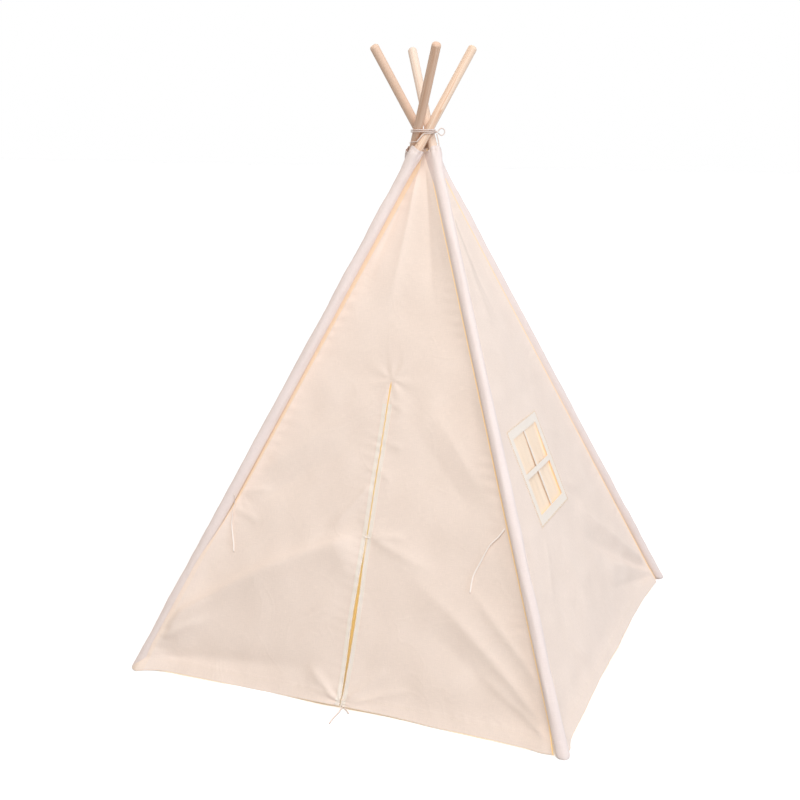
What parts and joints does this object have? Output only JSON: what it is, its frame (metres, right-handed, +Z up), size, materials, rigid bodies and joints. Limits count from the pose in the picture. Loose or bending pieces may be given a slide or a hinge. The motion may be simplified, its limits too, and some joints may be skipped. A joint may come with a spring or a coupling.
{
  "type": "play teepee",
  "caption": "Child-size play teepee: crossed wooden poles lashed near the top, in a canvas cover with a split door and a curtained side window.",
  "frame": {"origin": "on the floor, midway between the four feet", "axes": "+Z up, -Y out of the door, +X out of the windowed wall"},
  "size_m": [1.2334, 1.2945, 1.6644],
  "materials": {
    "pale_pine": "plain turned softwood, bare",
    "brushed_steel": "thin drawn tube",
    "cream_canvas": "plain-weave cotton canvas, matt",
    "trim_tape": "stitched cotton tape",
    "cotton_cord": "soft twisted cotton",
    "curtain_cotton": "thin cotton",
    "fastener_tape": "hook-and-loop tape"
  },
  "bodies": {
    "lashing": {"lashing_wraps": "cotton_cord", "lashing_knot": "cotton_cord", "lashing_bow_loop": "cotton_cord", "lashing_tail": "cotton_cord"},
    "pole_front_left": {"pole_front_left_lower": "pale_pine", "pole_front_left_upper": "pale_pine", "pole_front_left_ferrule": "brushed_steel", "sleeve_front_left": "cream_canvas"},
    "pole_front_right": {"pole_front_right_lower": "pale_pine", "pole_front_right_upper": "pale_pine", "pole_front_right_ferrule": "brushed_steel", "sleeve_front_right": "cream_canvas"},
    "pole_back_right": {"pole_back_right_lower": "pale_pine", "pole_back_right_upper": "pale_pine", "pole_back_right_ferrule": "brushed_steel", "sleeve_back_right": "cream_canvas"},
    "pole_back_left": {"pole_back_left_lower": "pale_pine", "pole_back_left_upper": "pale_pine", "pole_back_left_ferrule": "brushed_steel", "sleeve_back_left": "cream_canvas"},
    "front_wall": {"front_wall": "cream_canvas", "door_tie_left": "cotton_cord", "door_tie_right": "cotton_cord"},
    "door_flap_left": {"door_flap_left": "cream_canvas", "slit_facing_left": "trim_tape", "slit_tie": "trim_tape", "hem_tie_knot": "cotton_cord", "hem_tie_tail_long": "cotton_cord"},
    "door_flap_right": {"door_flap_right": "cream_canvas", "slit_facing_right": "trim_tape", "hem_tie_tail_short": "cotton_cord"},
    "right_wall": {"right_wall": "cream_canvas", "window_frame": "trim_tape", "window_bar_across": "trim_tape", "window_bar_upright": "trim_tape", "curtain_fastener_left_wall": "fastener_tape", "curtain_fastener_right_wall": "fastener_tape"},
    "window_curtain": {"window_curtain": "curtain_cotton", "curtain_fastener_left_curtain": "fastener_tape", "curtain_fastener_right_curtain": "fastener_tape"},
    "back_wall": {"back_wall": "cream_canvas"},
    "left_wall": {"left_wall": "cream_canvas"}
  },
  "joints": [
    {"name": "fold", "type": "hinge", "parent": "lashing", "child": "pole_front_left", "pos_m": [0.01388, -0.01388, 1.428], "axis": [0.7071, -0.7071, 0], "range_deg": [0, 24.2], "deforming": ["sleeve_front_left"]},
    {"name": "fold_front_right_pole", "type": "hinge", "parent": "lashing", "child": "pole_front_right", "pos_m": [0.01388, 0.01388, 1.428], "axis": [0.7071, 0.7071, 0], "range_deg": [0, 24.2], "deforming": ["sleeve_front_right"]},
    {"name": "fold_back_right_pole", "type": "hinge", "parent": "lashing", "child": "pole_back_right", "pos_m": [-0.01388, 0.01388, 1.428], "axis": [-0.7071, 0.7071, 0], "range_deg": [0, 24.2], "deforming": ["sleeve_back_right"]},
    {"name": "fold_back_left_pole", "type": "hinge", "parent": "lashing", "child": "pole_back_left", "pos_m": [-0.01388, -0.01388, 1.428], "axis": [-0.7071, -0.7071, 0], "range_deg": [0, 24.2], "deforming": ["sleeve_back_left"]},
    {"name": "fold_front_wall", "type": "hinge", "parent": "lashing", "child": "front_wall", "pos_m": [0, 0, 1.39098], "axis": [1, 0, 0], "range_deg": [0, 18.2], "deforming": ["front_wall", "door_tie_left", "door_tie_right"]},
    {"name": "fold_right_wall", "type": "hinge", "parent": "lashing", "child": "right_wall", "pos_m": [0, 0, 1.39098], "axis": [0, 1, 0], "range_deg": [0, 18.2], "deforming": ["right_wall", "window_frame", "window_bar_across", "window_bar_upright", "curtain_fastener_left_wall", "curtain_fastener_right_wall"]},
    {"name": "fold_back_wall", "type": "hinge", "parent": "lashing", "child": "back_wall", "pos_m": [0, 0, 1.39098], "axis": [-1, 0, 0], "range_deg": [0, 18.2], "deforming": ["back_wall"]},
    {"name": "fold_left_wall", "type": "hinge", "parent": "lashing", "child": "left_wall", "pos_m": [0, 0, 1.39098], "axis": [0, -1, 0], "range_deg": [0, 18.2], "deforming": ["left_wall"]},
    {"name": "open_left_flap", "type": "hinge", "parent": "front_wall", "child": "door_flap_left", "pos_m": [0.011, -0.2517, 0.79193], "axis": [0.3297, 0.3657, 0.8704], "range_deg": [-160, 0], "deforming": ["door_flap_left", "slit_facing_left", "slit_tie", "hem_tie_knot", "hem_tie_tail_long"]},
    {"name": "open_right_flap", "type": "hinge", "parent": "front_wall", "child": "door_flap_right", "pos_m": [0.011, -0.2517, 0.79193], "axis": [0.3297, -0.3657, -0.8704], "range_deg": [-160, 0], "deforming": ["door_flap_right", "slit_facing_right", "hem_tie_tail_short"]},
    {"name": "swing_curtain", "type": "hinge", "parent": "right_wall", "child": "window_curtain", "pos_m": [0.30765, 0, 0.65491], "axis": [0, -1, 0], "range_deg": [-110, 0], "deforming": ["window_curtain", "curtain_fastener_left_curtain", "curtain_fastener_right_curtain"]}
  ],
  "couplings": [
    {"joint": "fold_front_right_pole", "follows": "fold", "ratio": 1},
    {"joint": "fold_back_right_pole", "follows": "fold", "ratio": 1},
    {"joint": "fold_back_left_pole", "follows": "fold", "ratio": 1},
    {"joint": "fold_front_wall", "follows": "fold", "ratio": 0.751},
    {"joint": "fold_right_wall", "follows": "fold", "ratio": 0.751},
    {"joint": "fold_back_wall", "follows": "fold", "ratio": 0.751},
    {"joint": "fold_left_wall", "follows": "fold", "ratio": 0.751}
  ]
}
